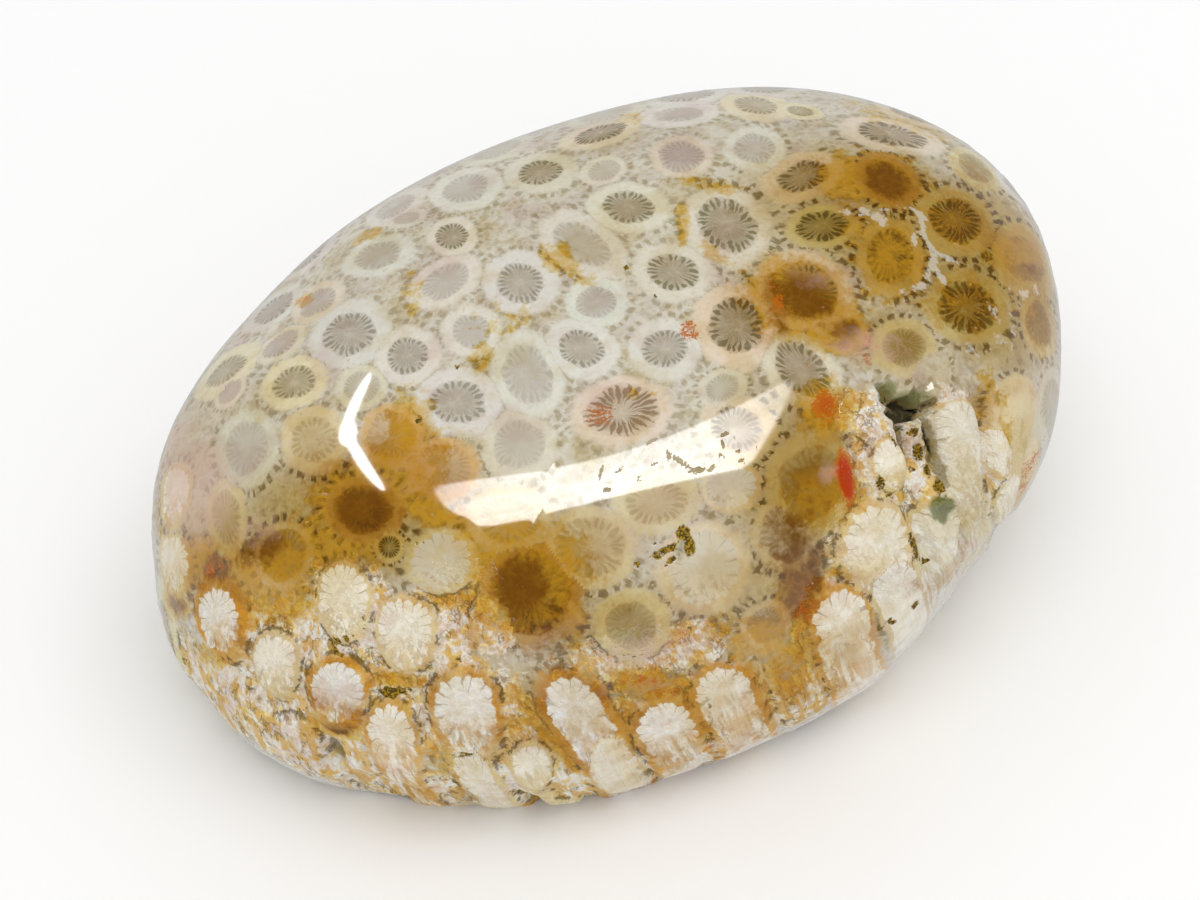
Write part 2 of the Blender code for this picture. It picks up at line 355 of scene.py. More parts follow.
# Each cup as seen: x and y in the view, width and height in mm, turn in degrees
# anticlockwise, and kind.
CUPS = (
    (465, 188, 4.3, 2.9, 10, "plain"), (540, 172, 4.1, 2.6, 5, "dark"), (452, 236, 3.1, 2.5, 0, "dark"),
    (600, 133, 5.1, 1.8, 18, "rosy"), (604, 170, 3.1, 2, 15, "faint"), (677, 114, 4.6, 1.7, 5, "plain"),
    (756, 105, 4.1, 2.2, -10, "cream"), (800, 111, 2.5, 1.1, -8, "cream"), (681, 156, 4.2, 3.3, 0, "lilac"),
    (755, 148, 3.8, 3.2, 0, "plain"), (628, 207, 4.7, 3.1, -5, "dark"), (727, 225, 5.5, 5, -30, "dark"),
    (803, 176, 5, 2.8, 22, "rosy"), (582, 244, 5.6, 3.4, -35, "plain"), (521, 282, 4.2, 3.6, -15, "grey"),
    (445, 282, 4.7, 2.8, 30, "plain"), (673, 272, 4.6, 3.4, -10, "dark"), (596, 302, 3.5, 2.9, 0, "plain"),
    (736, 325, 4.8, 4.8, 0, "rosy"), (582, 348, 4, 3.2, -25, "grey"), (665, 348, 3.9, 3.4, 0, "grey"),
    (471, 331, 3.5, 3.1, 0, "plain"), (527, 374, 5.4, 4, -65, "plain"), (457, 402, 5, 3.9, -5, "grey"),
    (622, 411, 6.3, 4.4, 8, "lens"), (519, 444, 4.4, 4, 0, "faint"), (722, 388, 2.9, 2.2, 20, "faint"),
    (730, 486, 4.2, 3.6, 0, "frost"), (655, 501, 5.4, 4, 0, "sandy"), (590, 546, 5.8, 5.2, 0, "sandy"),
    (509, 519, 5, 4, 0, "sandy"), (704, 567, 6, 6, 0, "frost"), (441, 561, 5, 4.4, 0, "frost"),
    (530, 592, 6.6, 7, 0, "brown"), (632, 625, 4.3, 4, 0, "moss"), (767, 624, 3.4, 3.4, 0, "lilac"),
    (464, 709, 5, 6.4, 6, "petal"), (573, 706, 4.4, 6.4, 30, "tail"), (667, 730, 4.8, 6.4, 20, "petal"),
    (723, 692, 4.8, 5.8, 30, "fan"), (531, 763, 3.2, 3.2, 0, "chalk"), (217, 616, 4.1, 5.1, 10, "petal"),
    (273, 660, 3.8, 4.6, 0, "chalk"), (342, 596, 4.2, 5.4, 0, "chalk"), (405, 629, 4.6, 5, 0, "chalk"),
    (336, 689, 4.4, 5, -10, "petal"), (390, 733, 4, 5, 6, "fan"), (490, 795, 3.2, 3, 0, "chalk"),
    (283, 555, 4, 4.7, -20, "lilac"), (363, 509, 5, 4, 0, "brown"), (389, 547, 1.9, 1.9, 0, "olive"),
    (226, 517, 2.8, 5, 5, "sandy"), (246, 447, 3.9, 4.8, -10, "faint"), (314, 439, 4.2, 3.9, 0, "sandy"),
    (294, 382, 4, 2.9, 15, "cream"), (349, 333, 4.7, 3.9, 15, "grey"), (279, 342, 3.8, 2.3, 30, "lilac"),
    (230, 391, 2.8, 1.7, 50, "lilac"), (407, 355, 3.7, 3.3, 0, "grey"), (361, 387, 3.2, 2.8, 0, "faint"),
    (391, 435, 4.2, 4.2, 0, "peach"), (443, 468, 5, 4.2, 0, "peach"), (178, 491, 2.4, 3.9, -10, "chalk"),
    (314, 297, 3.8, 2.9, 20, "lilac"), (377, 255, 4.6, 2.6, 10, "plain"), (406, 218, 2.4, 1.2, 10, "faint"),
    (891, 134, 6.9, 2.5, -8, "rosy"), (888, 179, 4.4, 3.8, -30, "brown"), (822, 226, 5.2, 2.9, 8, "olive"),
    (955, 220, 5.1, 4.4, -10, "ochre"), (975, 167, 3.9, 2.8, -35, "moss"), (890, 256, 5.3, 4.2, 80, "ochre"),
    (805, 290, 6, 4.8, -20, "rosy"), (967, 306, 5.8, 4.8, 0, "ochre"), (1024, 258, 4.4, 4.4, 0, "moss"),
    (1038, 323, 3, 4, 0, "moss"), (903, 347, 3.9, 3.3, 0, "moss"), (930, 368, 3.2, 2.6, 0, "crumb"),
    (801, 369, 5.7, 3.8, -45, "dark"), (811, 482, 5.4, 6.4, -20, "moss"), (874, 540, 6, 6, 0, "chalk"),
    (866, 404, 3.6, 3, 14, "crumb"), (840, 620, 5, 7, 15, "fan"), (784, 532, 4.3, 4.8, 0, "lilac"),
    (494, 616, 3.8, 3.6, 0, "crumb"), (957, 428, 4.6, 4.6, 8, "column"), (1012, 398, 4.2, 3.4, 2, "rib"),
    (938, 526, 4.8, 4.4, -4, "knob"), (996, 447, 2.4, 3.4, 20, "chalk"), (1008, 484, 2, 3, -6, "column"),
    (902, 604, 4, 4.6, 14, "knob"), (1048, 400, 3, 4.6, 0, "faint"), (888, 462, 2.8, 3.6, 20, "chalk"),
    (798, 688, 4.2, 4.6, 30, "crumb"), (620, 776, 4, 3.4, 0, "chalk"), (206, 668, 4, 6, 20, "crumb"),
    (246, 716, 4, 5, 20, "crumb"), (290, 740, 4.4, 4.6, 20, "crumb"), (174, 560, 3, 4.6, 0, "chalk"),
)
# Cups that the view can't place: those round the back and those seen edge on
FILL_SEED = 11
FILL_TRIES = 9000
FILL_SIZE_MM = (3.9, 5.0)
FILL_SPACING = 1.92            # against the rings' half widths
FILL_SQUASH = 0.16
FILL_CHALK = 0.3               # where the stone is chalkier than this it has none
FILL_KINDS = ("dark", "grey", "plain", "cream", "grey", "rosy", "faint", "lilac", "olive")
CUP_TRIPLES = ("cup_form", "cup_cut", "cup_floor", "cup_gap", "cup_wall")
CUP_NUMBERS = ("wall_wide", "cup_seed")
FAR_CUP = 99.0                 # stands for no cup found yet
STEEP = 0.10                   # least cosine between tube and surface for a placed cup
PROBE = 0.2 * MM


def look_of(kind, draw):
    floor, gap, wall, form, cut, spread, fall = KINDS[kind]
    shade = 1 + draw.uniform(-0.06, 0.06)
    return {
        "cup_floor": tuple(part * shade for part in colour(floor)),
        "cup_gap": colour(gap),
        "cup_wall": tuple(part * (1 + draw.uniform(-0.03, 0.03)) for part in colour(wall)),
        "cup_form": form,
        "cup_cut": tuple(part + draw.uniform(-0.05, 0.05) for part in cut),
        "wall_wide": spread * (1 + draw.uniform(-0.06, 0.06)),
        "fall": fall,
        "cup_seed": draw.uniform(0, 50),
    }


def placed_cup(tree, x, y, wide, tall, turn, kind, draw):
    """A cup whose edge looks the given size from the view."""
    hit, normal, _, _ = tree.ray_cast(VIEW_EYE, view_ray(x, y))
    if hit is None:
        raise ValueError(f"the cup at {x}, {y} misses the stone")
    first = normal.orthogonal().normalized()
    second = normal.cross(first)
    middle = plan_of(hit)
    slope = Matrix([(plan_of(hit + side * PROBE) - middle) / (PROBE / MM)
                    for side in (first, second)]).transposed()
    tube = (hit - TUBE_FOCUS).normalized()
    if abs(tube.dot(normal)) < STEEP:
        rows = Matrix.Identity(2) * (2 / wide)
    else:
        seen = Matrix([[side.dot(VIEW_RIGHT), side.dot(VIEW_UP)]
                       for side in (first, second)]).transposed()
        size = Matrix(((2 / wide, 0), (0, 2 / tall)))
        rows = size @ Matrix.Rotation(math.radians(-turn), 2) @ seen @ slope.inverted()
    return {"plan": middle, "rows": rows, **look_of(kind, draw)}


def reach_of(cup, plan):
    side, up = cup["rows"] @ (plan - cup["plan"])
    return math.hypot(side, up - min(up, 0) * cup["fall"]) / cup["wall_wide"]


def fill_cups(cups, skin, draw):
    """Adds cups by darts wherever the stone still has none."""
    chalk = [item.vector[0] for item in skin.data.attributes["pale"].data]
    points = [plan_of(vertex.co) for vertex in list(skin.data.vertices)[::7]
              if chalk[vertex.index] < FILL_CHALK]
    added = []
    for _ in range(FILL_TRIES):
        plan = draw.choice(points)
        if any(reach_of(cup, plan) < FILL_SPACING for cup in cups + added):
            continue
        half = draw.uniform(*FILL_SIZE_MM) / 2
        squash = Matrix(((1 + draw.uniform(-FILL_SQUASH, FILL_SQUASH), 0), (0, 1)))
        turn = Matrix.Rotation(draw.uniform(0, math.pi), 2)
        rows = squash @ turn * (1 / half)
        added.append({"plan": plan, "rows": rows, **look_of(draw.choice(FILL_KINDS), draw)})
    return added


def cup_points(cups):
    """The cups as a mesh of bare points that carry their facts."""
    mesh = bpy.data.meshes.new("cups")
    mesh.from_pydata([(*cup["plan"], 0.0) for cup in cups], [], [])
    for row, name in enumerate(("row_a", "row_b")):
        write_layer(mesh, name, [(*cup["rows"][row], 0.0) for cup in cups])
    for name in (*CUP_TRIPLES, *CUP_NUMBERS, "fall"):
        write_layer(mesh, name, [cup[name] for cup in cups])
    return new_thing("cups", mesh)


def cup_growth():
    """Gives each face the cup it belongs to, then raises and cuts the surface."""
    inputs = {"Cups": "Object", "Count": "Int", "Focus": "Vector", "Axis": "Vector",
              "Along": "Vector", "Across": "Vector", "Reach": "Float",
              "Groove depth": "Float", "Grain height": "Float", "Cleft depth": "Float",
              "Lump height": "Float", "Material": "Material"}
    tree, wires = new_growth("corallites", inputs)
    cups = add_node(tree, "GeometryNodeObjectInfo", {"Object": wires["Cups"]}, out="Geometry",
                    transform_space="ORIGINAL")

    def fact(name, index, kind="FLOAT"):
        value = named_value(tree, name, kind)
        return add_node(tree, "GeometryNodeSampleIndex",
                        {"Geometry": cups, "Value": value, "Index": index},
                        data_type=kind, domain="POINT")

    def local_in(cup):
        """Right and up from a cup's middle, with less fall down the flank for a trail."""
        away = named_value(tree, "plan", TRIPLE).arrow("SUBTRACT", fact("position", cup, TRIPLE))
        up = away.dot(fact("row_b", cup, TRIPLE))
        return away.dot(fact("row_a", cup, TRIPLE)), up - up.lowest(0.0) * fact("fall", cup)

    place = add_node(tree, "GeometryNodeInputPosition")
    arm = place.arrow("SUBTRACT", wires["Focus"])
    rise = arm.dot(wires["Axis"])
    stretch = wires["Reach"] / rise * (1 / MM)
    plan = add_node(tree, "ShaderNodeCombineXYZ", (
        arm.dot(wires["Along"]) * stretch, arm.dot(wires["Across"]) * stretch, rise * (1 / MM)))
    geometry = store(tree, wires["Geometry"], "plan", plan, TRIPLE, "POINT")
    for name, domain in (("reach", "POINT"), ("second", "POINT"), ("face_reach", "FACE")):
        geometry = store(tree, geometry, name, FAR_CUP, "FLOAT", domain)
    geometry = store(tree, geometry, "cup", 0, "INT", "FACE")

    start = tree.nodes.new("GeometryNodeRepeatInput")
    end = tree.nodes.new("GeometryNodeRepeatOutput")
    start.pair_with_output(end)
    plug(tree, start.inputs["Iterations"], wires["Count"])
    plug(tree, start.inputs["Geometry"], geometry)
    turn = Wire(tree, start.outputs["Iteration"])
    first, second = local_in(turn)
    reach = (first * first + second * second).power(0.5) / fact("wall_wide", turn)
    face_reach = named_value(tree, "face_reach")
    point_reach = named_value(tree, "reach")
    nearer = add_node(tree, "FunctionNodeCompare", {"A": reach, "B": face_reach},
                      data_type="FLOAT", operation="LESS_THAN")
    inside = Wire(tree, start.outputs["Geometry"])
    inside = store(tree, inside, "cup", turn, "INT", "FACE", nearer)
    inside = store(tree, inside, "face_reach", reach.lowest(face_reach), "FLOAT", "FACE")
    runner_up = reach.highest(point_reach).lowest(named_value(tree, "second"))
    inside = store(tree, inside, "second", runner_up, "FLOAT", "POINT")
    inside = store(tree, inside, "reach", reach.lowest(point_reach), "FLOAT", "POINT")
    plug(tree, end.inputs["Geometry"], inside)
    geometry = Wire(tree, end.outputs["Geometry"])

    own = named_value(tree, "cup", "INT")
    local = add_node(tree, "ShaderNodeCombineXYZ", (*local_in(own), 0.0))
    geometry = store(tree, geometry, "cup_local", local, TRIPLE, "CORNER")
    for name in CUP_TRIPLES:
        geometry = store(tree, geometry, name, fact(name, own, TRIPLE), TRIPLE, "FACE")
    for name in CUP_NUMBERS:
        geometry = store(tree, geometry, name, fact(name, own), "FLOAT", "FACE")

    # relief: grooves where the chalky columns part, grain on the chalk, clefts and lumps
    chalk = named_value(tree, "pale", TRIPLE).parts()[0]
    cleft = named_value(tree, "cleft")
    grain = add_node(tree, "ShaderNodeTexNoise", {
        "Vector": place.times(1 / MM), "Scale": 0.7, "Detail": 4.0, "Roughness": 0.6})
    rough = named_value(tree, "reach") + (grain - 0.5) * 0.5
    groove = rough.step(0.80, 1.15) * chalk
    height = (grain - 0.5) * wires["Grain height"] * chalk
    height = height - groove * wires["Groove depth"] - cleft * wires["Cleft depth"]
    height = height + named_value(tree, "lump") * wires["Lump height"]
    normal = add_node(tree, "GeometryNodeInputNormal")
    geometry = add_node(tree, "GeometryNodeSetPosition",
                        {"Geometry": geometry, "Offset": normal.times(height)})
    geometry = add_node(tree, "GeometryNodeSetShadeSmooth", {"Geometry": geometry})
    close_growth(tree, geometry, wires["Material"])
    return tree


# ---------------------------------------------------------------- the stains
# Mineral patches as seen: x and y in the view, half width and half height in mm,
# turn in degrees anticlockwise, and strength. Each is a soft oval.
OCHRE = (
    (255, 575, 6.4, 3.2, 25, 0.9), (330, 545, 4.6, 2.6, 10, 0.8), (358, 500, 4.6, 3.6, 0, 0.9),
    (402, 474, 3.6, 2.6, 0, 0.9), (412, 430, 2.2, 3.4, 0, 0.8), (432, 508, 4.4, 1.6, -25, 0.9),
    (470, 545, 2.6, 2, 0, 0.8), (522, 575, 5.2, 4.4, 0, 1), (175, 602, 2, 1.6, 40, 0.9),
    (285, 598, 3.2, 2.2, 20, 0.8), (355, 560, 2.6, 1.4, 0, 0.5), (848, 178, 3, 2.4, 0, 1),
    (888, 180, 3.4, 3, -30, 1), (890, 256, 3.4, 4.4, 0, 0.8), (856, 226, 2, 2.4, 0, 0.6),
    (800, 302, 4.6, 3.6, -20, 1), (778, 290, 1.8, 3.2, 10, 1), (190, 575, 3.6, 1.6, 10, 0.8),
    (165, 520, 1.6, 2, 0, 0.4), (838, 326, 2.8, 2.6, 0, 1), (955, 220, 4.2, 4, 0, 0.5),
    (965, 302, 4.6, 3.6, 0, 0.5), (1022, 256, 4.6, 2.6, 0, 0.9), (1038, 322, 2.2, 3, 0, 0.6),
    (900, 120, 6.4, 1.6, -15, 0.5), (972, 168, 3, 2.4, -30, 0.5), (557, 258, 1.7, 1.3, 0, 0.8),
    (572, 272, 2.4, 0.9, -30, 0.5), (410, 292, 1.2, 2.2, 0, 0.5), (500, 318, 3, 1.8, 0, 0.35),
    (481, 357, 0.9, 1.8, 0, 0.65), (683, 222, 0.7, 2.2, 0, 0.65), (712, 186, 3.6, 0.8, -10, 0.5),
    (712, 252, 2, 0.8, -40, 0.5), (825, 412, 2.4, 2.6, 0, 1), (822, 495, 4.2, 2.8, 0, 0.8),
    (800, 600, 2.4, 3.8, 0, 1), (845, 572, 2, 0.8, 0, 0.7), (762, 640, 2.6, 2.2, 0, 0.9),
    (742, 662, 0.8, 2.6, 28, 0.8), (762, 702, 1, 4.2, 18, 0.8), (550, 735, 1.1, 5, 32, 1),
    (617, 738, 1.3, 4.6, 16, 1), (660, 691, 4.2, 1.5, -14, 1.1), (694, 712, 1, 3.2, 28, 0.9),
    (640, 742, 1.2, 1.2, 0, 0.7), (220, 655, 3, 1.2, 10, 0.7), (336, 728, 2.6, 1.6, 0, 0.9),
    (452, 762, 3, 2.2, 0, 0.6), (395, 685, 2.2, 0.8, 0, 0.9), (512, 728, 2, 0.9, 0, 0.7),
    (722, 628, 1.4, 1.6, 0, 0.6), (1030, 288, 3, 5, 0, 0.5), (440, 598, 1.6, 0.6, -10, 0.7),
    (812, 648, 2.6, 2.4, 0, 0.7), (1000, 430, 0.8, 3.6, 4, 0.45), (300, 293, 1, 0.7, 0, 0.8),
    (368, 234, 1.8, 0.6, 20, 0.6), (630, 118, 1.4, 0.8, 0, 0.6), (640, 395, 1.6, 1, 0, 0.3),
    (575, 620, 1.2, 3, 0, 0.7), (410, 605, 2.2, 1, 0, 0.5), (985, 410, 0.8, 3.6, 0, 0.6),
    (200, 560, 2.6, 2.2, 0, 0.9), (697, 722, 0.9, 3, 30, 0.9), (788, 668, 2.2, 3.4, 20, 0.9),
    (430, 452, 2, 2.4, 0, 0.6), (630, 715, 0.8, 2, 30, 0.8),
)
BROWN = (
    (363, 510, 2.5, 2, 0, 1), (520, 586, 2.4, 2.8, 0, 0.9), (262, 548, 2.4, 1.5, 20, 0.8),
    (215, 568, 1.6, 1.4, 0, 0.8), (888, 182, 2.6, 2, -30, 0.8), (842, 330, 1.8, 1.6, 0, 0.7),
    (812, 492, 3.2, 3.6, 0, 0.45), (802, 575, 2.2, 4.4, 0, 0.9), (1030, 270, 3.2, 0.8, 0, 0.6),
    (790, 538, 3, 3.4, 0, 0.55), (548, 612, 2.6, 3, 0, 0.2), (560, 640, 4.4, 2.4, 20, 0.4),
    (338, 730, 1.6, 0.9, 0, 0.8), (806, 296, 2.8, 2.1, -20, 0.9), (632, 624, 2.2, 3.2, 0, 0.3),
    (175, 604, 1.2, 1, 0, 0.8), (776, 302, 1.2, 3.2, 10, 0.8), (826, 316, 1.6, 2, 0, 0.6),
    (765, 560, 2.2, 3, 0, 0.2), (590, 650, 3.6, 1.4, 10, 0.3),
)
RUST = (
    (846, 478, 0.8, 2.4, 10, 1.05), (842, 470, 1.1, 0.6, 30, 0.8), (600, 415, 1.5, 1.1, 0, 0.42),
    (826, 405, 1.3, 1.6, 0, 0.75), (688, 331, 0.9, 0.9, 0, 0.7), (210, 568, 1.2, 0.8, 0, 0.5),
    (870, 345, 2.2, 1, 0, 0.35), (866, 356, 0.9, 0.8, 0, 0.5), (808, 610, 1.2, 2, 0, 0.5),
    (774, 300, 0.9, 2.2, 10, 0.45), (1030, 470, 0.6, 3.2, -15, 0.5), (712, 748, 0.8, 0.6, 0, 0.4),
    (300, 293, 0.8, 0.5, 0, 0.5), (683, 642, 0.9, 0.8, 0, 0.35), (655, 688, 3, 0.9, -14, 0.5),
    (225, 560, 0.8, 0.5, 0, 0.5), (250, 578, 1, 0.5, 0, 0.4),
)
CHALK = (
    (270, 665, 9, 5.6, 20, 1), (400, 700, 10.5, 6.6, -5, 1), (345, 600, 3.8, 3.4, 0, 0.9),
    (430, 628, 6, 3.2, 0, 0.85), (560, 745, 9.5, 5, 10, 1), (700, 715, 8, 4.4, 20, 1),
    (838, 615, 3.6, 5.4, -30, 0.95), (868, 540, 3.6, 4, 0, 1), (925, 530, 6, 6.6, 60, 1),
    (955, 455, 4.4, 5.4, 0, 1), (905, 470, 3.2, 4.6, 0, 0.9), (870, 460, 2.6, 4.2, 10, 0.6),
    (1000, 470, 3.2, 5, 0, 0.75), (490, 640, 3.2, 2.2, 0, 0.6), (216, 616, 2.8, 3.2, 0, 0.9),
    (210, 690, 5, 6, 50, 0.9), (868, 420, 2.8, 3, 14, 0.7), (800, 700, 5, 4, 30, 0.9),
    (300, 745, 7, 4, -30, 1), (400, 790, 7, 3, 0, 1), (600, 790, 12, 3, 12, 1), (465, 600, 4, 3.6, 0, 0.6),
    (620, 660, 7, 3.4, 10, 0.6), (680, 650, 5, 3, 10, 0.7),
)
LILAC = (
    (176, 450, 3, 4.4, 10, 0.6), (235, 330, 3.4, 1.6, 45, 0.5), (196, 492, 3.8, 4.4, 0, 0.9),
    (230, 395, 2.8, 3, 0, 0.5), (255, 530, 3, 1.6, 20, 0.5), (640, 655, 3.6, 1.8, 10, 0.6),
    (868, 345, 3.6, 1.6, 0, 0.6), (840, 365, 2, 3.2, 0, 0.3), (815, 280, 3.6, 1.2, -20, 0.4),
    (828, 472, 1, 1.4, 0, 0.5), (768, 620, 2, 2, 0, 0.3), (420, 470, 3.2, 2.6, 0, 0.35),
    (1020, 480, 1.8, 3, 0, 0.4), (300, 470, 3.2, 1.6, 0, 0.35), (470, 640, 1.8, 1.6, 0, 0.4),
    (700, 640, 2, 2.2, 0, 0.3),
)
GREEN = (
    (940, 508, 1.1, 1, -20, 1.3), (912, 397, 2.2, 0.7, 0, 0.7), (889, 392, 1, 1.2, 0, 0.8),
    (905, 430, 0.8, 2.8, 20, 0.4), (935, 470, 0.9, 3, 20, 0.4), (1000, 415, 1, 3.2, 22, 0.4),
    (985, 460, 0.7, 3, 5, 0.35), (682, 545, 1.4, 1.8, 0, 0.5), (945, 380, 1.2, 1.8, 0, 0.3),
    (510, 215, 4, 1.6, 25, 0.25),
)
# Clefts between the chalky columns: cut open, with an olive lining at their edges and painted shade, near
# black, deeper inside
CLEFTS = (
    (906, 405, 2.2, 0.45, -12, 1), (908, 412, 1.9, 0.5, 0, 1), (888, 394, 1.1, 0.4, -50, 0.8),
    (930, 404, 0.9, 0.4, 30, 0.9), (904, 430, 0.35, 1.8, 10, 0.9), (931, 440, 0.4, 2.4, 10, 1),
    (940, 470, 0.35, 1.6, 20, 0.8), (910, 455, 0.3, 1, 10, 0.7), (332, 762, 0.6, 1.4, 10, 0.9),
    (469, 799, 0.9, 0.5, -35, 0.7), (536, 802, 0.8, 0.5, -35, 0.7), (650, 779, 0.7, 0.5, -35, 0.6),
)
# Column ends and knobs that stand proud round the foot
LUMPS = (
    (957, 470, 2.7, 7.5, 9, 1), (936, 556, 2.9, 4.2, 8, 1), (905, 625, 3, 4, 30, 0.8),
    (1012, 405, 2.8, 6.5, 5, 0.6), (868, 545, 3, 3.4, 0, 0.5), (872, 665, 3, 3.4, 35, 0.5),
    (885, 450, 1.6, 4, 20, 0.5), (830, 620, 2.2, 3.4, 20, 0.4), (998, 462, 1.6, 3.4, 10, 0.7),
    (917, 425, 0.8, 1.6, 10, 0.6), (578, 730, 2.4, 5, 25, 0.3), (420, 770, 4, 2.6, 0, 0.3),
    (500, 780, 3, 2, 0, 0.3), (730, 705, 2.6, 4.2, 30, 0.3), (1008, 492, 1.3, 3, -8, 0.6),
    (978, 545, 1.6, 2.4, 8, 0.6), (168, 465, 3, 7, 5, 0.4), (1046, 425, 2.4, 6, 0, 0.35),
    (560, 790, 4.6, 2.2, 0, 0.4),
)
# Hollows between them, without colour of their own
DENTS = (
    (1004, 529, 1.3, 1.6, -30, 0.6), (976, 560, 1.3, 2, -30, 1.4), (986, 440, 0.6, 4, 14, 0.9),
    (984, 500, 0.5, 3.6, 8, 0.9), (922, 545, 0.6, 4, 14, 0.8), (957, 552, 0.5, 3.6, 4, 0.8),
    (948, 512, 1.2, 0.6, -20, 0.8), (1022, 480, 0.6, 3.4, -10, 0.6), (882, 600, 0.6, 2.2, 25, 0.5),
    (280, 297, 6.5, 3.4, 42, 0.75), (845, 655, 0.6, 2.2, 30, 0.5), (332, 766, 0.7, 0.8, 0, 0.6),
    (469, 803, 0.8, 0.6, 0, 0.5), (394, 792, 2.2, 1, 0, 0.7), (350, 785, 1.6, 1, 0, 0.5),
    (705, 762, 1, 0.8, 0, 0.5),
)
# Pale veins and clouds in the polished part
VEINS = (
    (918, 213, 1.2, 0.25, -35, 0.9), (923, 228, 0.3, 1.2, 10, 0.9), (930, 246, 0.3, 1.5, 22, 0.9),
    (930, 270, 0.3, 1.5, -20, 0.9), (922, 286, 1.2, 0.3, 15, 0.9), (944, 256, 1.2, 0.3, -20, 0.8),
    (940, 275, 0.3, 1.2, 30, 0.8), (914, 240, 0.3, 0.9, -20, 0.8), (1030, 292, 3, 0.9, 10, 0.4),
    (1000, 330, 1.6, 2.2, 0, 0.35), (985, 350, 2.6, 1, -10, 0.35), (905, 300, 0.5, 2, 0, 0.5),
    (870, 380, 2.4, 1, -20, 0.4), (540, 262, 1.2, 0.7, 0, 0.3), (700, 280, 1.8, 1, 20, 0.4),
    (868, 212, 3, 0.5, 5, 0.6), (880, 218, 0.6, 1.4, 30, 0.6), (1020, 205, 1, 2, 30, 0.5),
)
# Small pits lined with olive and gold
PITS = (
    (683, 533, 0.6, 0.6, 0, 1), (690, 547, 0.5, 0.9, 0, 0.9), (657, 556, 0.9, 0.5, 20, 0.6),
    (668, 549, 1, 0.35, 20, 0.8), (655, 543, 0.3, 0.3, 0, 0.7), (672, 560, 0.8, 0.35, 40, 0.7),
    (637, 564, 0.3, 0.3, 0, 0.8), (419, 419, 0.32, 0.32, 0, 1), (457, 367, 0.24, 0.2, 0, 1),
    (626, 268, 0.26, 0.26, 0, 0.9), (655, 296, 0.2, 0.2, 0, 0.8), (919, 235, 0.3, 0.25, 0, 0.9),
    (924, 561, 0.4, 0.3, 0, 0.9), (889, 619, 0.4, 0.3, 0, 0.8), (878, 626, 0.3, 0.3, 0, 0.8),
    (910, 601, 0.7, 0.3, 40, 0.7), (912, 545, 0.5, 1.6, 20, 0.7), (338, 641, 1.6, 0.35, 10, 0.8),
    (335, 654, 1.2, 0.3, 0, 0.8), (390, 697, 1.4, 0.45, 5, 0.9), (363, 622, 0.3, 0.9, 0, 0.6),
    (225, 660, 1, 0.35, 0, 0.7), (390, 785, 1.6, 0.4, -35, 0.6), (458, 662, 0.35, 0.3, 0, 0.8),
    (693, 632, 0.4, 0.3, 0, 0.7), (405, 697, 0.6, 0.3, 0, 0.8), (464, 754, 1.6, 0.3, 0, 0.6),
    (456, 785, 0.5, 0.8, 40, 0.7), (520, 795, 1.2, 0.4, -35, 0.6), (880, 483, 0.3, 0.8, 20, 0.8),
    (650, 778, 0.6, 0.3, 0, 0.7), (708, 700, 0.3, 1.2, 25, 0.5), (403, 547, 0.3, 0.3, 0, 0.5),
    (421, 543, 0.5, 0.3, 0, 0.6), (632, 656, 1.2, 0.25, 0, 0.5), (892, 497, 0.8, 0.3, -20, 0.6),
    (899, 426, 0.4, 0.8, 10, 0.9), (914, 432, 0.5, 0.4, 0, 0.8), (907, 447, 0.4, 0.6, 0, 0.8),
    (921, 452, 0.4, 0.9, 10, 0.8), (929, 470, 0.4, 0.8, 20, 0.8), (916, 470, 0.4, 0.3, 0, 0.7),
    (893, 441, 0.3, 0.5, 0, 0.7), (924, 426, 0.4, 0.5, 0, 0.8), (938, 486, 0.5, 0.7, 0, 0.8),
)
# Chips in the polish that show as marks in the bright reflection
CHIPS = (
    (601, 472, 0.14, 0.7, -15, 0.9), (619, 470, 0.14, 0.5, -50, 0.7), (607, 490, 0.35, 0.2, 0, 1),
    (639, 478, 0.25, 0.35, 20, 0.6), (655, 463, 0.5, 0.14, 25, 0.7), (680, 461, 1, 0.2, -35, 1),
    (697, 470, 0.8, 0.22, 5, 1), (725, 434, 0.4, 0.2, 20, 0.9), (723, 444, 0.16, 0.5, 5, 0.9),
    (738, 452, 0.3, 0.18, 0, 0.8), (721, 455, 0.4, 0.16, -30, 0.8), (742, 461, 0.3, 0.2, 0, 0.9),
    (652, 441, 0.6, 0.16, 30, 0.9), (620, 451, 0.4, 0.14, 15, 0.5), (661, 478, 0.6, 0.16, -20, 0.5),
    (521, 487, 0.3, 0.12, 40, 0.4), (712, 468, 0.5, 0.2, 30, 0.8), (361, 398, 0.2, 0.12, 0, 0.6),
    (757, 447, 0.2, 0.4, 20, 0.5), (668, 455, 0.2, 0.5, 10, 0.8), (735, 438, 0.2, 0.3, 0, 0.5),
)
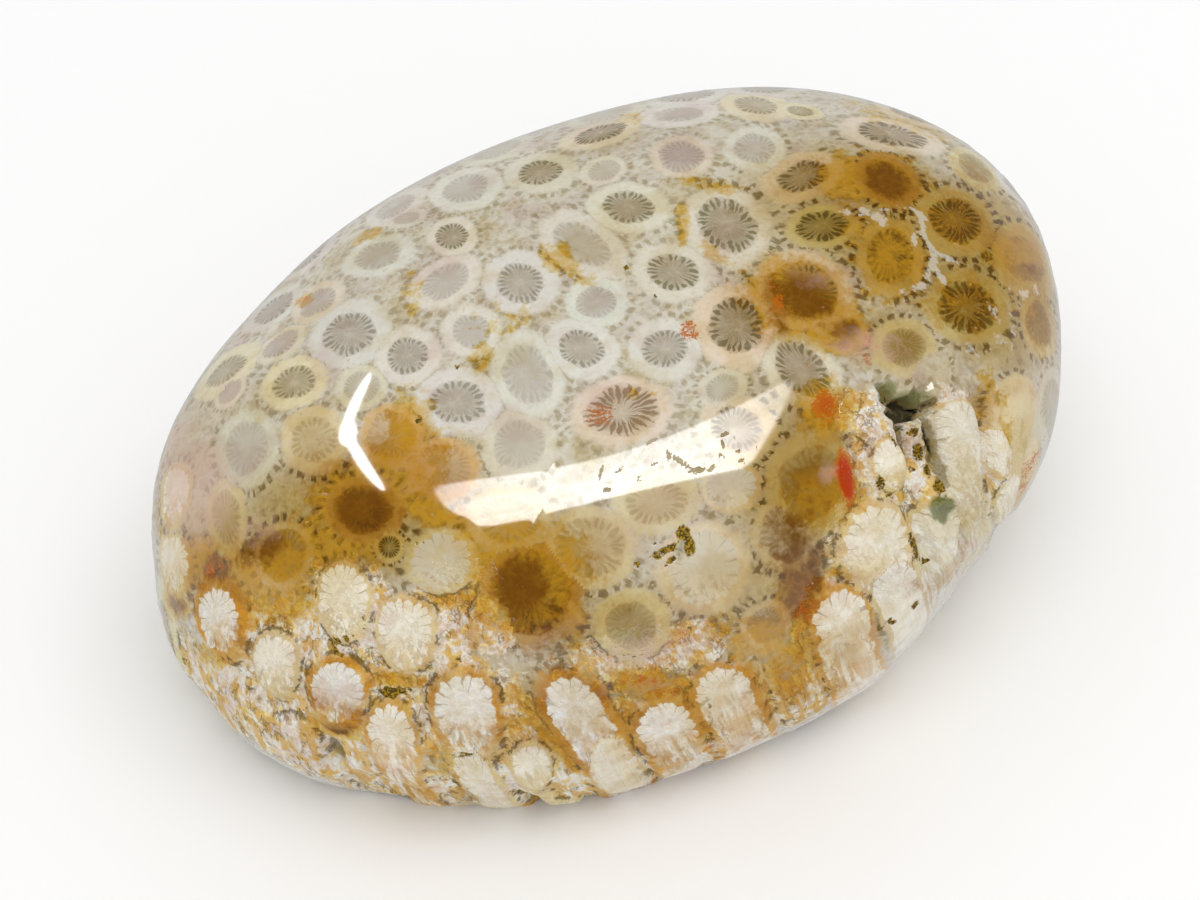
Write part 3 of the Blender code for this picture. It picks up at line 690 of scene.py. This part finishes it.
# Broad warm wash over whole parts of the stone
WASH = (
    (905, 225, 14, 11, -30, 1), (1010, 250, 8, 10, 0, 1), (800, 300, 7, 5, 0, 0.8),
    (340, 520, 12, 6.5, 10, 1), (215, 560, 6, 5, 20, 0.8), (530, 575, 9, 6.5, 0, 0.7),
    (620, 640, 9, 5, 0, 0.7), (800, 480, 7, 9, 0, 0.9), (700, 610, 9, 5, 10, 0.6), (790, 590, 6, 6, 0, 0.8),
    (590, 700, 14, 5, 15, 0.9), (440, 690, 12, 8, 0, 0.45), (300, 690, 8, 6, 0, 0.45),
    (940, 400, 7, 6, 0, 0.5), (730, 470, 6, 4, 0, 0.4), (590, 250, 10, 5, -30, 0.25),
    (740, 250, 7, 6, 0, 0.3), (300, 420, 8, 5, 0, 0.3), (920, 580, 5, 7, 30, 0.4), (800, 680, 9, 6, 30, 0.9),
    (250, 620, 6, 4, 20, 0.5), (185, 460, 5, 9, 0, 0.45), (1040, 360, 3, 8, 0, 0.4),
    (1000, 320, 8, 6, 0, 0.8), (885, 335, 6, 4, 0, 0.7),
)
STAIN_DEPTH_MM = 9.0           # how far a patch reaches along the line of sight
DENT_SHARE = 1.3               # depth of the dents against the height of the lumps


def patch_field(points, tree, patches):
    """Adds soft ovals over an array of points, the strongest one ruling."""
    field = np.zeros(len(points))
    axes = np.array([VIEW_RIGHT, VIEW_UP, VIEW_BACK])
    for x, y, wide, tall, turn, strength in patches:
        hit, _, _, _ = tree.ray_cast(VIEW_EYE, view_ray(x, y))
        if hit is None:
            continue
        away = (points - np.array(hit)) @ axes.T / MM
        cosine, sine = math.cos(math.radians(turn)), math.sin(math.radians(turn))
        along = (away[:, 0] * cosine + away[:, 1] * sine) / wide
        across = (away[:, 1] * cosine - away[:, 0] * sine) / tall
        deep = away[:, 2] / STAIN_DEPTH_MM
        oval = along ** 2 + across ** 2 + deep ** 2
        field = np.maximum(field, strength * np.exp(-0.7 * oval ** 1.5))
    return field


def store_fields(skin, tree):
    mesh = skin.data
    points = np.empty(len(mesh.vertices) * 3)
    mesh.vertices.foreach_get("co", points)
    points = points.reshape(-1, 3)

    def fields(*groups):
        return np.stack([patch_field(points, tree, group) for group in groups], 1)

    write_layer(mesh, "warm", fields(OCHRE, BROWN, RUST))
    write_layer(mesh, "pale", fields(CHALK, LILAC, GREEN))
    write_layer(mesh, "marks", fields(PITS, CHIPS, WASH))
    write_layer(mesh, "cleft", fields(CLEFTS))
    write_layer(mesh, "vein", fields(VEINS))
    write_layer(mesh, "lump", fields(LUMPS) - DENT_SHARE * fields(DENTS))


# ---------------------------------------------------------------- the material
AGATE_IOR = 1.54
SEPTA_LEAST = 20               # septa come in 20, 22 or 24


def new_material(name):
    """An empty material; gives it with its tree and the socket that takes the surface."""
    material = bpy.data.materials.new(name)
    material.use_nodes = True
    tree = material.node_tree
    tree.nodes.clear()
    output = tree.nodes.new("ShaderNodeOutputMaterial")
    return material, tree, output.inputs["Surface"]


def shader_value(tree, name, out=0):
    """A stored attribute in a material: 0 colour, 1 vector, 2 number."""
    node = tree.nodes.new("ShaderNodeAttribute")
    node.attribute_name = name
    return Wire(tree, node.outputs[("Color", "Vector", "Fac")[out]])


def blend(tree, amount, base, top, mode="MIX"):
    """Lays one colour over another; colours are wires, linear triples or web codes."""
    node = tree.nodes.new("ShaderNodeMix")
    node.data_type = "RGBA"
    node.blend_type = mode
    plug(tree, node.inputs[0], amount)
    for socket, value in ((node.inputs[6], base), (node.inputs[7], top)):
        plug(tree, socket, (*colour(value), 1.0) if isinstance(value, str) else value)
    return Wire(tree, node.outputs[2])


def noise(tree, where, scale, detail=3.0, rough=0.55, shift=0.0):
    return add_node(tree, "ShaderNodeTexNoise", {
        "Vector": where.arrow("ADD", (shift, shift * 0.7, -shift)), "Scale": scale,
        "Detail": detail, "Roughness": rough})


def wobble(tree, where, scale, detail, reach):
    """A noisy shift of a place, up to half the reach each way."""
    shift = add_node(tree, "ShaderNodeTexNoise",
                     {"Vector": where, "Scale": scale, "Detail": detail}, out="Color")
    return shift.arrow("SUBTRACT", (0.5, 0.5, 0.5)).times(reach)


def cup_pattern(tree, place, fine):
    """Radius in the cup, and the masks of its gaps, septa, petals, lines, wall and beads."""
    local = shader_value(tree, "cup_local", 1)
    local = local.arrow("ADD", wobble(tree, place, 0.4, 3.0, 0.5))
    local = local.arrow("ADD", wobble(tree, place, 1.6, 1.0, 0.10))
    side, front, _ = local.parts()
    radius = (side * side + front * front).power(0.5)
    turn = front.sum("ARCTAN2", side)
    seed = shader_value(tree, "cup_seed", 2)
    contrast, petal, milk = shader_value(tree, "cup_form", 1).parts()
    inner, width, halo = shader_value(tree, "cup_cut", 1).parts()
    wall_wide = shader_value(tree, "wall_wide", 2)

    spoke = add_node(tree, "ShaderNodeCombineXYZ", (side / radius, front / radius, seed))
    uneven = noise(tree, spoke, 1.7, 2.0)
    lengths = noise(tree, spoke, 7.0, 1.0, shift=5.0)
    count = (seed.sum("FRACT") * 3.0).sum("FLOOR") * 2.0 + SEPTA_LEAST
    phase = turn * count + (uneven - 0.5) * 9.0 + (fine - 0.5) * 1.4
    wave = phase.sum("COSINE")
    slow = (phase * 0.5).sum("COSINE")

    # gaps are short blunt slots at the rim, some running further in than others
    half = (1.0 - inner) * (0.26 + lengths * 0.44 + slow * 0.05)
    along = (radius - 0.98) / half + 1.0
    slot = along * along + (1.0 - wave) * (1.15 - width) + (fine - 0.5) * 1.6
    gap = slot.step(1.45, 0.5) * (0.25 + fine * 0.7 + lengths * 0.7).clip()
    septa = (wave * -1.0).step(0.35, 0.95) * radius.step(0.12, 0.4) * radius.step(1.0, 0.8)
    knot = fine.step(0.42, 0.62) * radius.step(0.9, 0.2)
    smear = (lengths * 0.6 + fine * 0.6).step(0.52, 0.66) * radius.step(0.1, 0.4)
    smear = smear * radius.step(0.95, 0.7)

    fold = turn * (count - 6.0) * 0.5 + (uneven - 0.5) * 5.0 + (fine - 0.5) * 0.5
    lobes = fold.sum("COSINE").sum("ABSOLUTE")
    lobe_edge = radius - lobes * 0.09 + 0.06 - (lengths - 0.5) * 0.22 + (fine - 0.5) * 0.06
    present = (halo + 1.0).clip()
    petals = lobe_edge.step(1.04, 0.96) * petal * present
    lines = lobes.step(0.26, 0.04) * (radius - inner - (lengths - 0.5) * 0.7).step(-0.05, 0.5)

    inside = (radius + wave * 0.02).step(1.05, 0.95) * present
    rim = wall_wide + wave * 0.03 + (fine - 0.5) * 0.3 + (lengths - 0.5) * 0.3
    wall = (rim - radius).step(-0.16, 0.14) * present
    beyond = radius - wall_wide + (fine - 0.5) * 0.2
    beads = (wave + 0.2).step(-0.1, 0.6) * beyond.step(-0.02, 0.1) * beyond.step(0.42, 0.26)
    return {"radius": radius, "gap": gap, "contrast": contrast, "petal": petal, "milk": milk,
            "petals": petals, "lines": lines, "inside": inside, "wall": wall, "halo": halo,
            "beads": beads, "knot": knot, "septa": septa, "smear": smear,
            "wall_wide": wall_wide, "flank": front.step(0.1, -0.7)}


def coral_agate():
    material, tree, outside = new_material("coral_agate")
    place = add_node(tree, "ShaderNodeTexCoord", out="Object").times(1 / MM)
    tube = shader_value(tree, "plan", 1).arrow("MULTIPLY", (1.0, 1.0, 0.22))
    ochre, brown, rust = shader_value(tree, "warm", 1).parts()
    chalk, lilac, green = shader_value(tree, "pale", 1).parts()
    pit, chips, wash = shader_value(tree, "marks", 1).parts()
    cleft = shader_value(tree, "cleft", 2)
    seam = shader_value(tree, "second", 2) - shader_value(tree, "reach", 2)

    fine = noise(tree, place, 2.4, 2.0)
    grit = noise(tree, place, 5.0, 2.0, shift=3.0)
    mottle = noise(tree, place, 0.8, 2.0, 0.5, 13.0)
    soft = noise(tree, place, 0.26, 2.0, 0.5, 31.0)
    broken = noise(tree, place, 0.45, 2.0, 0.6, 71.0)
    cup = cup_pattern(tree, place, fine)
    open_seam = seam.step(0.0, 0.06)

    # the filling between the cups: beige, with pale threads round darker cells
    strayed = tube.arrow("ADD", wobble(tree, place, 0.9, 2.0, 1.8))
    cells = add_node(tree, "ShaderNodeTexVoronoi", {"Vector": strayed, "Scale": 0.95},
                     out="Distance")
    cell = cells.step(0.5, 0.25) * broken.step(0.40, 0.52)
    web = ((noise(tree, tube, 0.9, 2.0, 0.5, 7.0) - 0.5) * 9.0).sum("ABSOLUTE").step(0.9, 0.1)
    filling = blend(tree, mottle.step(0.38, 0.6), "CABD9E", "DED8C6")
    filling = filling.under(soft.step(0.42, 0.62) * 0.5, "CEC2B8")
    filling = filling.under(cell * (0.3 + wash * 0.3), "A0936A")
    filling = filling.under(web * 0.45, "E8E3D2")
    bead = blend(tree, (wash + ochre).step(0.2, 0.8), "9A8C64", "745C12")
    beads = cup["beads"] * broken.step(0.38, 0.48) * (0.5 + wash * 0.5)
    filling = filling.under(beads, bead)

    # chalky filling: white clouds, cream, gold and rosy grains with a few crevices
    blotch = noise(tree, tube, 0.7, 3.0, 0.6, 57.0)
    ridge = ((noise(tree, tube, 0.9, 3.0, 0.6, 23.0) - 0.5) * 8.0).sum("ABSOLUTE")
    crack = ridge.step(0.34, 0.06) * broken.step(0.47, 0.56)
    grain = (fine * 0.6 + grit * 0.4).step(0.4, 0.56)
    chalk_edge = (chalk + (mottle - 0.5) * 0.7 + (fine - 0.5) * 0.45).step(0.36, 0.56)
    powder = blend(tree, mottle.step(0.36, 0.48), "FFE9A8", "FFFFF8")
    powder = powder.under(blotch.step(0.51, 0.57) * 0.75, "EEBE48")
    powder = powder.under((1.0 - blotch).step(0.56, 0.66) * 0.5, "FADCC8")
    powder = powder.under((1.0 - grain) * 0.22, "C89430")
    powder = powder.under(cell * 0.3, "C89832")
    powder = powder.under(crack * 0.6, "6E5814")
    flutes = tube.arrow("MULTIPLY", (1.0, 1.0, 0.12))
    flute = noise(tree, flutes, 2.6, 2.0, 0.5, 91.0).step(0.46, 0.58)
    powder = powder.under(flute * (0.12 + wash * 0.5), "CC9222")
    filling = filling.under(chalk_edge, powder)

    floor_tint, gap_tint, wall_tint = (
        shader_value(tree, name) for name in ("cup_floor", "cup_gap", "cup_wall"))

    # the cup: floor, tangle in the middle, pale septa and the gaps between them
    floor = floor_tint.under(cup["radius"].step(0.45, 1.0) * 0.55, wall_tint)
    floor = floor.under((cup["knot"] + cup["septa"] * 0.3).clip() * 0.35, "DCD4BE")
    dark = (cup["gap"] + cup["smear"] * 0.4).clip() * cup["contrast"]
    floor = floor.under(dark, gap_tint)
    floor = floor.under(cup["milk"] * soft.step(0.2, 0.6) * 0.8, "D2C9BC")

    petals = floor_tint.under(mottle.step(0.36, 0.7) * 0.25, wall_tint)
    petals = petals.under(cup["lines"] * 0.7, gap_tint)
    petals = petals.under((1.0 - grain) * 0.1, "C8AE82")
    petals = petals.under(flute * (0.08 + cup["flank"] * 0.42), "BC9C5C")

    # the wall, or on a chalky cup the rusty halo and its dark outer edge
    wall = wall_tint.under(mottle.step(0.35, 0.75) * 0.35, "F6F3E6")
    wall = wall.under((fine - 0.48).clip() * 1.2, "CFC3A0")
    rusty = blend(tree, broken.step(0.42, 0.6), "ECAC22", "CC8C06")
    rusty = rusty.under((1.0 - grain) * 0.4, "9A6C04")
    patchy = (mottle - 0.5) * 1.6 + (soft - 0.5) * 2.0
    wall = wall.under((cup["halo"] * (0.6 + patchy * 1.8)).clip() * 0.95, rusty)
    moat = cup["radius"] - cup["wall_wide"] + (fine - 0.5) * 0.3
    moat = moat.step(-0.08, 0.0) * moat.step(0.12, 0.04) * chalk_edge * broken.step(0.47, 0.55)

    wall_cover = cup["wall"] * open_seam * (0.95 - cup["milk"] * 0.2)
    stone = filling.under(wall_cover, wall)
    stone = stone.under(moat * 0.7, "5E4A0C")
    stone = stone.under(cup["inside"] * open_seam * (1.0 - cup["petal"]), floor)
    eaten = cup["flank"] * (1.0 - blotch).step(0.44, 0.54) * 0.75
    stone = stone.under(cup["petals"] * open_seam * (1.0 - eaten), petals)

    # faint yellow and rosy clouds in the clear agate
    cloud = noise(tree, place, 0.16, 3.0, 0.55, 47.0)
    stone = stone.under(cloud.step(0.52, 0.64) * 0.5, "FAECC4", "MULTIPLY")
    stone = stone.under((1.0 - cloud).step(0.52, 0.64) * 0.5, "FAE8E4", "MULTIPLY")

    # mineral stains soak into the filling first, then the walls
    edge = (fine - 0.5) * 0.5 + (mottle - 0.5) * 1.1 + (grit - 0.5) * 0.2
    guard = 1.0 - cup["petals"] * 0.85
    soak = guard * (1.0 - cup["wall"] * (1.0 - cup["inside"]) * 0.4) * (1.0 - web * 0.25)
    tan = (wash + edge * 0.35).step(0.1, 0.9) * (1.0 - cup["petals"] * 0.6)
    tan = tan * (1.0 - chalk_edge * 0.7)
    stone = stone.under(tan * 0.9, "E2C676", "MULTIPLY")
    stain = (ochre + edge).step(0.25, 0.5) * soak
    gold = stone.under(stain * 0.9, "FCDC5C", "MULTIPLY")
    stain = (ochre + edge).step(0.45, 0.85) * soak
    gold = gold.under(stain * 0.5, "ECC644", "MULTIPLY")
    gold = gold.under(stain * 0.42, "EAB22A")
    gold = gold.under((ochre + edge * 1.2).step(0.9, 1.3) * soak * 0.5, "A06C08")
    deep = (brown + edge * 0.8).step(0.3, 0.8) * soak
    stone = gold.under(deep * 0.8, "C08C1E", "MULTIPLY")
    stone = stone.under(deep * 0.55, "6E4602")
    red = (rust + edge * 0.9 + (grit - 0.5) * 1.2).step(0.35, 0.65) * guard
    stone = stone.under(red * 0.9, blend(tree, rust.step(0.6, 0.9), "C4680C", "BE2C02"))
    stone = stone.under((lilac + edge * 0.6).step(0.2, 0.8) * 0.5, "DCBAA8")
    stone = stone.under((green + edge * 0.6).step(0.35, 0.75) * 0.75, "626C1C")
    vein = (shader_value(tree, "vein", 2) + edge * 1.5).step(0.4, 0.65)
    stone = stone.under(vein * 0.6, "DEDACC")
    hole = (pit + (fine - 0.5) * 0.9).step(0.35, 0.6)
    chip = (chips + (grit - 0.5) * 0.9).step(0.42, 0.65)
    stone = stone.under(hole, blend(tree, grit.step(0.45, 0.6), "524208", "B08A1C"))
    # the clefts: the stone's olive lining at their edges, then painted shade, near black, deeper in
    stone = stone.under((cleft + (fine - 0.5) * 0.5).step(0.3, 0.5) * 0.7, "90804A")
    stone = stone.under((cleft + (fine - 0.5) * 0.4).step(0.7, 0.95) * 0.9, "2E280E")
    stone = stone.under(chip * 0.7, "A8966A")

    # finish: glassy on the polished dome, dull on the chalk and in the pits
    dull = chalk_edge.step(0.0, 0.4).highest(hole).highest(chip).highest(cleft.step(0.1, 0.4))
    dull = dull.highest(green.step(0.2, 0.7))
    relief = grain * 0.8 + fine * 0.5 - flute * 0.5 - moat - crack
    relief = relief - cup["lines"] * cup["petals"] * 0.6
    height = relief * chalk_edge - hole * 0.8 - chip
    bump = add_node(tree, "ShaderNodeBump", {
        "Strength": 0.5, "Distance": 0.18 * MM, "Height": height})
    polished = add_node(tree, "ShaderNodeBsdfPrincipled", {
        "Base Color": stone, "Roughness": 0.055 + (fine - 0.5) * 0.03, "Normal": bump,
        "IOR": AGATE_IOR, "Specular IOR Level": 0.75})
    chalky = add_node(tree, "ShaderNodeBsdfPrincipled", {
        "Base Color": stone, "Roughness": 0.5 + grit * 0.2, "Normal": bump,
        "Specular IOR Level": 0.15})
    plug(tree, outside, add_node(tree, "ShaderNodeMixShader", (dull, polished, chalky)))
    return material


# ---------------------------------------------------------------- the stone
GROOVE_DEPTH = 0.75 * MM
GRAIN_HEIGHT = 0.5 * MM
CLEFT_DEPTH = 1.6 * MM
LUMP_HEIGHT = 1.0 * MM


def make_stone():
    skin = make_skin()
    graph = bpy.context.evaluated_depsgraph_get()
    tree = BVHTree.FromObject(skin, graph)
    store_fields(skin, tree)
    draw = random.Random(FILL_SEED)
    cups = [placed_cup(tree, *row, draw) for row in CUPS]
    cups += fill_cups(cups, skin, draw)
    points = cup_points(cups)
    values = {"Cups": points, "Count": len(cups), "Focus": TUBE_FOCUS, "Axis": TUBE_AXIS,
              "Along": PLAN_ALONG, "Across": PLAN_ACROSS, "Reach": TUBE_REACH,
              "Groove depth": GROOVE_DEPTH, "Grain height": GRAIN_HEIGHT,
              "Cleft depth": CLEFT_DEPTH, "Lump height": LUMP_HEIGHT, "Material": coral_agate()}
    stone = grow(skin, cup_growth(), values, "coral_stone")
    drop(skin)
    drop(points)
    return stone


# ---------------------------------------------------------------- the studio
def make_camera():
    data = bpy.data.cameras.new("view")
    data.lens = LENS_MM
    data.sensor_width = SENSOR_MM
    data.clip_start = 10 * MM
    data.clip_end = 10.0
    camera = new_thing("view", data)
    turned = Matrix((VIEW_RIGHT, VIEW_UP, VIEW_BACK)).transposed().to_4x4()
    camera.matrix_world = Matrix.Translation(VIEW_EYE) @ turned
    bpy.context.scene.camera = camera


FLOOR_HALF = 3.0               # metres, half the floor's side
FLOOR_COLOUR = (0.93, 0.93, 0.93, 1.0)


def make_floor():
    shape = bmesh.new()
    bmesh.ops.create_grid(shape, x_segments=1, y_segments=1, size=FLOOR_HALF)
    mesh = bpy.data.meshes.new("floor")
    shape.to_mesh(mesh)
    shape.free()
    floor = new_thing("floor", mesh)
    material, tree, outside = new_material("pale_floor")
    plug(tree, outside, add_node(tree, "ShaderNodeBsdfPrincipled", {
        "Base Color": FLOOR_COLOUR, "Roughness": 0.9, "Specular IOR Level": 0.0}))
    mesh.materials.append(material)
    floor.visible_glossy = False


def make_lamp(name, middle, along, across, shape, watts, soft, mirrored):
    """A flat lamp over the stone: middle, and half sides as vectors. A lamp that isn't
    soft only shows as a reflection, and one that isn't mirrored never does."""
    data = bpy.data.lights.new(name, "AREA")
    data.shape = shape
    data.size = along.length * 2
    data.size_y = across.length * 2
    data.energy = watts
    lamp = new_thing(name, data)
    first = along.normalized()
    second = across.normalized()
    turned = Matrix((first, second, first.cross(second))).transposed().to_4x4()
    lamp.matrix_world = Matrix.Translation(middle) @ turned
    lamp.visible_diffuse = soft
    lamp.visible_glossy = mirrored


WORLD_SOFT = 0.86
MIRRORED_ABOVE, MIRRORED_BELOW = 0.06, 0.58
# The lamps hang flat over the stone, a little apart in height. Each: middle to the right
# of the stone and away from the viewer, height, half length, half width, turn in degrees,
# shape, watts, soft, mirrored.
LAMPS = {
    "strip": (0.070, -0.145, 0.64, 0.290, 0.120, 17, "RECTANGLE", 1.2, True, False),
    "hook_far": (-0.458, 0.2425, 0.600, 0.130, 0.020, 71.5, "ELLIPSE", 0.5, False, True),
    "hook_near": (-0.4435, 0.035, 0.605, 0.173, 0.020, -72.0, "ELLIPSE", 0.6, False, True),
    "hook_bend": (-0.482, 0.150, 0.610, 0.034, 0.052, 0, "ELLIPSE", 0.3, False, True),
}

# The sheet whose reflection crosses the dome: corners far left, far right, near right
# and near left, as right of the stone and away from the viewer, then how far its long
# edges bow, its height and its glow.
SHEET = ((-0.262, -0.135), (0.300, 0.098), (0.372, -0.262), (-0.170, -0.372))
SHEET_BOW_FAR, SHEET_BOW_NEAR = -0.085, 0.035
SHEET_HIGH = 0.60
SHEET_GLOW = 9.3


def sheet_glow(u, v):
    """Glow over the sheet: dimmer along its far edge, rounded off at its ends."""
    fade = 1 - abs(2 * u - 1) ** 16 - abs(2 * v - 1) ** 9
    band = 0.72 + 0.28 * min(1.0, max(0.0, (v - 0.30 - 0.06 * math.sin(4 * u)) / 0.10))
    crease = 1 - 0.22 * math.exp(-((v - 0.66 - 0.08 * math.sin(5 * u + 1)) / 0.035) ** 2)
    tip = 1 - 0.5 * max(0.0, u - 0.86) / 0.14 * (1 - v)
    return SHEET_GLOW * min(1.0, max(0.0, fade * 4)) * band * crease * tip


def make_sheet(ahead, across=72, down=28):
    """The glowing sheet, seen only in the polish."""
    points, glow, faces = [], [], []
    for row in range(down + 1):
        for column in range(across + 1):
            u, v = column / across, row / down
            far = [a + (b - a) * u for a, b in zip(SHEET[0], SHEET[1])]
            near = [a + (b - a) * u for a, b in zip(SHEET[3], SHEET[2])]
            bow = math.sin(math.pi * u ** 1.3)
            right = far[0] + (near[0] - far[0]) * v - 0.02 * math.sin(math.pi * v) * (1 - u)
            away = (far[1] + SHEET_BOW_FAR * bow) * (1 - v) + (near[1] + SHEET_BOW_NEAR * bow) * v
            points.append(VIEW_RIGHT * right + ahead * away + Vector((0, 0, SHEET_HIGH)))
            glow.append(sheet_glow(u, v))
    for row in range(down):
        for column in range(across):
            first = row * (across + 1) + column
            faces.append((first, first + 1, first + across + 2, first + across + 1))
    mesh = bpy.data.meshes.new("sheet")
    mesh.from_pydata(points, [], faces)
    write_layer(mesh, "glow", glow)
    material, tree, outside = new_material("glowing_sheet")
    glowing = {"Strength": shader_value(tree, "glow", 2)}
    plug(tree, outside, add_node(tree, "ShaderNodeEmission", glowing))
    mesh.materials.append(material)
    sheet = new_thing("sheet", mesh)
    sheet.visible_camera = sheet.visible_diffuse = sheet.visible_shadow = False


def make_lights():
    ahead = Vector((-math.sin(VIEW_AZIMUTH), math.cos(VIEW_AZIMUTH), 0.0))
    for name, (right, away, high, long, wide, turn, *rest) in LAMPS.items():
        middle = VIEW_RIGHT * right + ahead * away + Vector((0, 0, high))
        cosine, sine = math.cos(math.radians(turn)), math.sin(math.radians(turn))
        along = (VIEW_RIGHT * cosine + ahead * sine) * long
        across = (ahead * cosine - VIEW_RIGHT * sine) * wide
        make_lamp(name, middle, along, across, *rest)
    make_sheet(ahead)
    world = bpy.data.worlds.new("studio")
    world.use_nodes = True
    tree = world.node_tree
    mirrored = add_node(tree, "ShaderNodeLightPath", out="Is Glossy Ray")
    _, _, upward = add_node(tree, "ShaderNodeTexCoord", out="Generated").parts()
    seen = MIRRORED_BELOW + upward.step(-0.1, 0.2) * (MIRRORED_ABOVE - MIRRORED_BELOW)
    strength = WORLD_SOFT + mirrored * (seen - WORLD_SOFT)
    plug(tree, tree.nodes["Background"].inputs["Color"], (1.0, 1.0, 1.0, 1.0))
    plug(tree, tree.nodes["Background"].inputs["Strength"], strength)
    scene = bpy.context.scene
    scene.world = world
    scene.view_settings.view_transform = "Standard"


make_camera()
coral = make_stone()
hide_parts(NODE)
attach(coral, "root")
make_floor()
make_lights()
